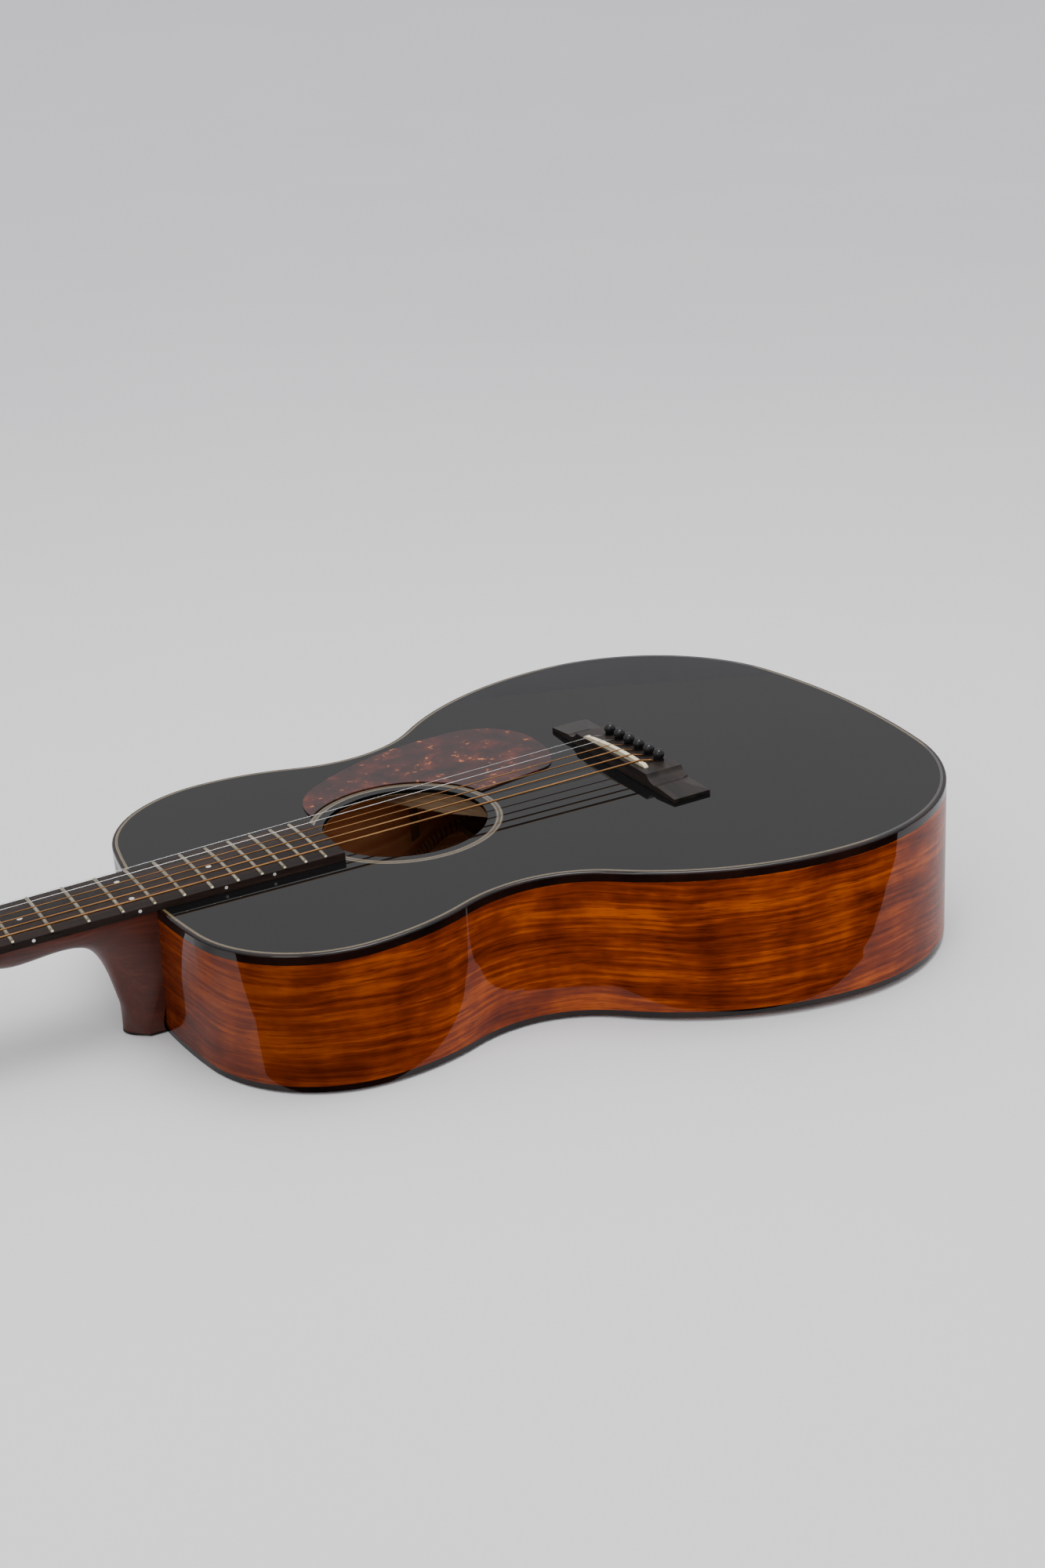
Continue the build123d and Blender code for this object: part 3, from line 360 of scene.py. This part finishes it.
wood = Finish("polished mahogany", Coat_Roughness=0.01, Coat_IOR=1.5, Specular_IOR_Level=0.0)
outside, relief = mahogany(
    wood, (3.4, 3.4, 78), (0.36, 0.066, 0.004), (0.165, 0.022, 0.002), (0.065, 0.007, 0.001))
# Painted shade: the outside of the sides is darkened towards the neck end.
shade_painted_near_neck = (1 - wood.axis("X").rise(0.0, 0.13)) * 0.5
outside = wood.mix(shade_painted_near_neck, outside, (0.040, 0.007, 0.003))
bare_mahogany = (0.35, (0.50, 0.22, 0.10)), (0.7, (0.68, 0.36, 0.18))
inside = wood.ramp(wood.noise(wood.stretched(9, 9, 160), 1.0, 3.0), *bare_mahogany)
normal = wood.node("ShaderNodeNewGeometry", {}, {}, "Normal")
waist_centre = (0.19, 0, 0)
from_centre = wood.node("ShaderNodeVectorMath", {"operation": "SUBTRACT"}, {0: wood.place, 1: waist_centre})
outward = wood.node("ShaderNodeVectorMath", {"operation": "MULTIPLY"}, {0: from_centre, 1: (1, 1, 0)})
facing_in = wood.node("ShaderNodeVectorMath", {"operation": "DOT_PRODUCT"}, {
    0: outward, 1: normal}, "Value") < 0.0
wood.surface(Base_Color=wood.mix(facing_in, outside, inside), Roughness=0.36 + relief * 0.1 + facing_in * 0.3,
             Coat_Weight=(1 - facing_in) * 0.48)
wood.bump(relief, 0.0003, 0.25)
wood.paint("side_bass", "side_treble")

plate = Finish("arched back", Coat_Weight=1.0, Coat_Roughness=0.02, Specular_IOR_Level=0.3)
figure, relief = mahogany(plate, (3.0, 46, 6), (0.60, 0.16, 0.018), (0.30, 0.055, 0.006), (0.11, 0.016, 0.003))
normal = plate.node("ShaderNodeNewGeometry", {}, {}, "Normal")
up = plate.node("ShaderNodeSeparateXYZ", {}, {0: normal}, "Z") > 0.0
bare = plate.ramp(plate.noise(plate.stretched(6, 220, 6), 1.0, 3.0), *bare_mahogany)
plate.surface(Base_Color=plate.mix(up, figure, bare), Roughness=0.36 + up * 0.3, Coat_Weight=1 - up)
plate.bump(relief, 0.0003, 0.25)
plate.paint("back")

# ---------------------------------------------------------------- inside of the box
# Bare spruce braces, cedar-coloured kerfed linings, mahogany blocks and a maple plate
# under the bridge, all sanded and glued in, with no finish on them.
for name, nodes, run, pale, deep in (
    ("bare spruce", ("x_brace_bass", "x_brace_treble", "upper_brace", "tone_bars", "finger_braces",
                     "back_braces", "back_strip", "side_strips"),
     (40, 40, 700), (0.27, 0.18, 0.10), (0.17, 0.105, 0.055)),
    ("bare maple", ("bridge_plate",), (8, 300, 300), (0.68, 0.52, 0.33), (0.50, 0.35, 0.20)),
    ("bare mahogany", ("neck_block", "tail_block"), (120, 120, 9), (0.42, 0.20, 0.09), (0.22, 0.09, 0.035)),
):
    bare_wood = Finish(name, Roughness=0.62)
    growth = bare_wood.noise(bare_wood.stretched(*run, place=bare_wood.warp(8.0, 0.004)), 1.0, 3.0)
    bare_wood.surface(Base_Color=bare_wood.ramp(growth, (0.32, deep), (0.68, pale)),
                      Roughness=0.55 + growth * 0.2)
    bare_wood.bump(growth, 0.0003, 0.3)
    bare_wood.paint(*nodes)

kerfed = Finish("kerfed linings", Roughness=0.65)
kerfs_per_radian, kerf_share, box_middle = 38.0, 0.16, 0.21
across_box = kerfed.axis("Y")
turn = across_box.maths("ARCTAN2", across_box, kerfed.axis("X") - box_middle)
cut = (turn * kerfs_per_radian) % 1.0 < kerf_share
kerf_wood = kerfed.ramp(
    kerfed.noise(kerfed.stretched(60, 60, 400), 1.0, 3.0), (0.3, (0.34, 0.16, 0.07)), (0.7, (0.50, 0.27, 0.13)))
# Painted shade: each kerf cut is coloured near-black for the shade inside the slot; the bump sinks it.
kerfed.surface(Base_Color=kerfed.mix(cut, kerf_wood, (0.03, 0.013, 0.006)))
kerfed.bump(1 - cut, 0.002, 0.8)
kerfed.paint("top_lining", "back_lining")

# ---------------------------------------------------------------- neck
# One piece of straight-grained mahogany, shaped to a round back and a swept heel, with a satin lacquer.
satin = Finish("satin mahogany", Coat_Weight=0.14, Coat_Roughness=0.2, Roughness=0.42, Specular_IOR_Level=0.25)
figure, relief = mahogany(
    satin, (5.0, 120, 150), (0.105, 0.022, 0.009), (0.052, 0.010, 0.005), (0.022, 0.004, 0.003))
# Painted shade: the neck is darkened towards the heel.
shade_painted_near_heel = satin.axis("X").rise(-0.10, -0.03)
satin.surface(Base_Color=satin.mix(shade_painted_near_heel * 0.55, figure, (0.065, 0.014, 0.007)),
              Roughness=0.36 + relief * 0.14)
satin.bump(relief, 0.0002, 0.3)
satin.paint("neck")

# ---------------------------------------------------------------- fretboard, veneer, heel cap and bridge
# Ebony, almost black with brown streaks and short open pores, oiled rather than
# lacquered. Its edges are just broken with fine paper, so they shine.
ebony = Finish("oiled ebony", Specular_IOR_Level=0.14)
streak = ebony.noise(ebony.stretched(6, 170, 170, place=ebony.warp(9.0, 0.004)), 1.0, 4.0)
pore = ebony.noise(ebony.stretched(70, 1400, 1400), 1.0, 1.0).rise(0.58, 0.66)
board_face = ebony.ramp(
    streak, (0.36, (0.009, 0.006, 0.005)), (0.60, (0.022, 0.013, 0.010)), (0.74, (0.050, 0.028, 0.020)))
ebony.surface(Base_Color=ebony.mix(pore * 0.7, board_face, (0.006, 0.004, 0.004)),
              Roughness=0.36 + streak * 0.18)
rounded = ebony.node("ShaderNodeBevel", {"samples": 4}, {"Radius": 0.0006})
ebony.surface(Normal=ebony.node("ShaderNodeBump", {}, {
    "Strength": 0.35, "Distance": 0.0002, "Height": streak - pore, "Normal": rounded}))
ebony.paint("fretboard", "headstock_veneer", "heel_cap")

polished = Finish("polished ebony", Specular_IOR_Level=0.14)
streak = polished.noise(polished.stretched(160, 7, 160, place=polished.warp(9.0, 0.004)), 1.0, 4.0)
polished.surface(Base_Color=polished.ramp(streak, (0.36, (0.010, 0.008, 0.0075)), (0.75, (0.030, 0.022, 0.018))),
                 Roughness=0.26 + streak * 0.16)
rounded = polished.node("ShaderNodeBevel", {"samples": 4}, {"Radius": 0.0006})
polished.surface(Normal=polished.node("ShaderNodeBump", {}, {
    "Strength": 0.3, "Distance": 0.0002, "Height": streak, "Normal": rounded}))
polished.paint("bridge")

# ---------------------------------------------------------------- frets
# Half-round nickel-silver wire is hammered into slots across the board, and its ends are
# filed to little domes that shine at the board's edges.
scale_length, fret_count = 0.6325, 19
nut_width, width_at_twelve, board_thickness, board_arch = 0.0460, 0.0552, 0.0054, 0.406
neck_tilt = deck_tilt + radians(0.34)
neck_run = Vector((cos(neck_tilt), 0, sin(neck_tilt)))
neck_up = Vector((-sin(neck_tilt), 0, cos(neck_tilt)))
crown_half, crown_height, end_dome, sunk = 0.00115, 0.00100, 0.0011, 0.00005
dome_steps, straight_steps, round_steps = 5, 12, 8
around = round_steps + 1
wire_points, wire_faces = [], []
for number in range(1, fret_count + 1):
    x = scale_length * (0.5 - 2 ** (-number / 12))
    half = (width_at_twelve + (width_at_twelve - nut_width) * x / (scale_length / 2)) / 2
    quarter = [pi / 2 * k / dome_steps for k in range(dome_steps)]
    stations = [(-half + end_dome * (1 - cos(angle)), sin(angle)) for angle in quarter]
    straight = 2 * (half - end_dome)
    stations += [
        (-half + end_dome + straight * k / straight_steps, 1.0) for k in range(straight_steps + 1)]
    stations += [(-y, size) for y, size in reversed(stations[:dome_steps])]
    start = len(wire_points)
    for y, size in stations:
        face = board_thickness - (board_arch - sqrt(board_arch ** 2 - y ** 2))
        for k in range(around):
            angle = pi * k / round_steps
            along = x + crown_half * cos(angle) * max(size, 0.05)
            over = face - sunk + crown_height * sin(angle) ** 0.8 * max(size, 0.05)
            wire_points.append(deck_point + neck_run * along + Vector((0, y, 0)) + neck_up * over)
    for row in range(len(stations) - 1):
        for k in range(round_steps):
            a, b = start + row * around + k, start + (row + 1) * around + k
            wire_faces.append((a, b, b + 1, a + 1))
    wire_faces.append(tuple(range(start, start + around)))
    last = len(wire_points) - 1
    wire_faces.append(tuple(range(last, last - around, -1)))
fret_wire = mesh_piece("fret_wire", wire_points, wire_faces)
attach(fret_wire, "guitar")
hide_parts("frets")
wire = Finish("nickel silver", Metallic=1.0)
scuff = wire.noise(wire.stretched(300, 60, 300), 1.0, 3.0)
wire.surface(Base_Color=wire.ramp(scuff, (0.3, (0.30, 0.26, 0.18)), (0.7, (0.50, 0.45, 0.34))),
             Roughness=0.22 + scuff * 0.18)
wire.paint("fret_wire")

# ---------------------------------------------------------------- dots
# Small discs of white pearl shell are glued into drilled holes in the board and sanded
# level, with a faint clouded sheen.
pearl = Finish("pearl shell", Coat_Weight=0.6, Coat_Roughness=0.1)
cloud = pearl.noise(pearl.place, 700.0, 3.0, 0.6)
lustre = pearl.ramp(cloud, (0.3, (0.42, 0.45, 0.44)), (0.55, (0.66, 0.66, 0.62)), (0.75, (0.80, 0.74, 0.72)))
pearl.surface(Base_Color=lustre, Roughness=0.22 + cloud * 0.2)
pearl.paint("fret_dots", "side_dots")

# ---------------------------------------------------------------- nut and saddle
# Both are cut from cattle bone: the nut sits behind the board's end, the saddle stands in
# a slanted slot in the bridge. They are polished, with fine grey pores.
bone = Finish(
    "polished bone", Coat_Weight=0.25, Coat_Roughness=0.15, Subsurface_Weight=0.1, Subsurface_Scale=0.001)
vein = bone.noise(bone.stretched(500, 90, 500), 1.0, 3.0)
bone.surface(Base_Color=bone.ramp(vein, (0.28, (0.52, 0.41, 0.25)), (0.6, (0.72, 0.63, 0.45))),
             Roughness=0.32 + vein * 0.15)
bone.bump(vein, 0.0001, 0.3)
bone.paint("nut", "saddle")

# ---------------------------------------------------------------- bridge pins and strap pin
# Turned black plastic: six bridge pins with a round head over a thin collar, and one
# larger pin for a strap in the middle of the tail.
jet = Finish("black turned plastic", Coat_Weight=0.55, Coat_Roughness=0.04, Specular_IOR_Level=0.0)
turning = jet.noise(jet.stretched(60, 60, 2600), 1.0, 2.0)
jet.surface(Base_Color=jet.ramp(turning, (0.3, (0.006, 0.006, 0.006)), (0.7, (0.016, 0.015, 0.015))),
            Roughness=0.18 + turning * 0.12)
jet.paint("bridge_pins", "end_pin")

# ---------------------------------------------------------------- strings
# Four strings are a steel core wound tightly with bronze wire, the two thinnest are plain
# steel. Each is hooked under the bridge by its ball and pulled over saddle and nut.
bronze = Finish("bronze winding", Metallic=1.0)
turns_per_metre = 3200.0
winding = (bronze.axis("X") * turns_per_metre) % 1.0
tarnish = bronze.noise(bronze.stretched(26, 200, 200), 1.0, 3.0)
bronze.surface(Base_Color=bronze.ramp(tarnish, (0.3, (0.15, 0.070, 0.026)), (0.7, (0.32, 0.165, 0.065))),
               Roughness=0.28 + tarnish * 0.2)
bronze.bump((winding * (1 - winding)) * 4.0, 0.0001, 0.5)
bronze.paint("string_low_e", "string_a", "string_d", "string_g")
plain = Finish("plain steel wire", Metallic=1.0)
drawn = plain.noise(plain.stretched(30, 900, 900), 1.0, 2.0)
plain.surface(Base_Color=plain.ramp(drawn, (0.3, (0.38, 0.37, 0.35)), (0.7, (0.58, 0.57, 0.55))),
              Roughness=0.12 + drawn * 0.15)
plain.paint("string_b", "string_high_e")

# ---------------------------------------------------------------- tuning machines
# Nickel-plated plates, gears and rollers are screwed to the headstock's edges. Each gear
# is turned by a worm on the shaft of an oval cream button behind the headstock.
nickel = Finish("nickel plate", Metallic=1.0)
wear = nickel.noise(nickel.place, 260.0, 4.0, 0.6)
rounded = nickel.node("ShaderNodeBevel", {"samples": 4}, {"Radius": 0.0003})
nickel.surface(Base_Color=nickel.ramp(wear, (0.3, (0.52, 0.50, 0.45)), (0.7, (0.74, 0.72, 0.67))),
               Roughness=0.14 + wear * 0.2,
               Normal=nickel.node("ShaderNodeBump", {}, {
                   "Strength": 0.15, "Distance": 0.0001, "Height": wear, "Normal": rounded}))
nickel.paint("tuner_plate_bass", "tuner_plate_treble", "tuner_screws")
rod = Finish("truss rod steel", Metallic=1.0)
mill = rod.noise(rod.stretched(30, 700, 700), 1.0, 3.0)
rod.surface(Base_Color=rod.ramp(mill, (0.3, (0.20, 0.20, 0.20)), (0.7, (0.36, 0.35, 0.34))),
            Roughness=0.35 + mill * 0.2)
rod.paint("truss_rod")

head_tilt = neck_tilt + radians(12.0)
head_run = Vector((cos(head_tilt), 0, sin(head_tilt)))
head_up = Vector((-sin(head_tilt), 0, cos(head_tilt)))
nut_length, button_top = 0.0057, 0.0176
head_point = deck_point - neck_run * (scale_length / 2 + nut_length)
button_part = Finish("cream button", Coat_Weight=0.7, Coat_Roughness=0.06)
swirls = button_part.noise(button_part.warp(60.0, 0.01), 120.0, 3.0, 0.6)
below = button_part.height_over(head_point - head_up * button_top, head_up) < 0.0
cream = button_part.ramp(swirls, (0.3, (0.58, 0.47, 0.28)), (0.7, (0.82, 0.74, 0.56)))
button_part.surface(Base_Color=button_part.mix(below, (0.60, 0.58, 0.53), cream), Metallic=1 - below,
                    Roughness=0.2 + swirls * 0.12)
thread_turns, steps_per_turn = 9, 20
thread_bottom, thread_length = -0.0137, 0.0110
crest_radius, root_radius, flank = 0.00225, 0.0019, 0.00035
worm_ahead, worm_out = 0.0079, 0.03485
for name, hand, station in (
    ("low_e", -1, 0.050), ("a", -1, 0.088), ("d", -1, 0.126),
    ("g", 1, 0.126), ("b", 1, 0.088), ("high_e", 1, 0.050),
):
    nickel.paint("tuner_post_" + name)
    button_part.paint("tuner_button_" + name)
    axis_point = head_point + head_run * (worm_ahead - station) + Vector((0, hand * worm_out, 0))
    thread_points, thread_faces = [], []
    steps = thread_turns * steps_per_turn
    for k in range(steps + 1):
        angle = 2 * pi * k / steps_per_turn
        arm = head_run * cos(angle) + Vector((0, sin(angle), 0))
        level = thread_bottom + thread_length * k / steps
        for radius, lift in ((root_radius, -flank), (crest_radius, 0.0), (root_radius, flank)):
            thread_points.append(axis_point + arm * radius + head_up * (level + lift))
    for k in range(steps):
        a = 3 * k
        thread_faces += [(a, a + 1, a + 4, a + 3), (a + 1, a + 2, a + 5, a + 4)]
    thread_faces += [(0, 2, 1), (3 * steps, 3 * steps + 1, 3 * steps + 2)]
    thread = mesh_piece("worm_thread_" + name, thread_points, thread_faces)
    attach(thread, "button_" + name)
    nickel.paint("worm_thread_" + name)
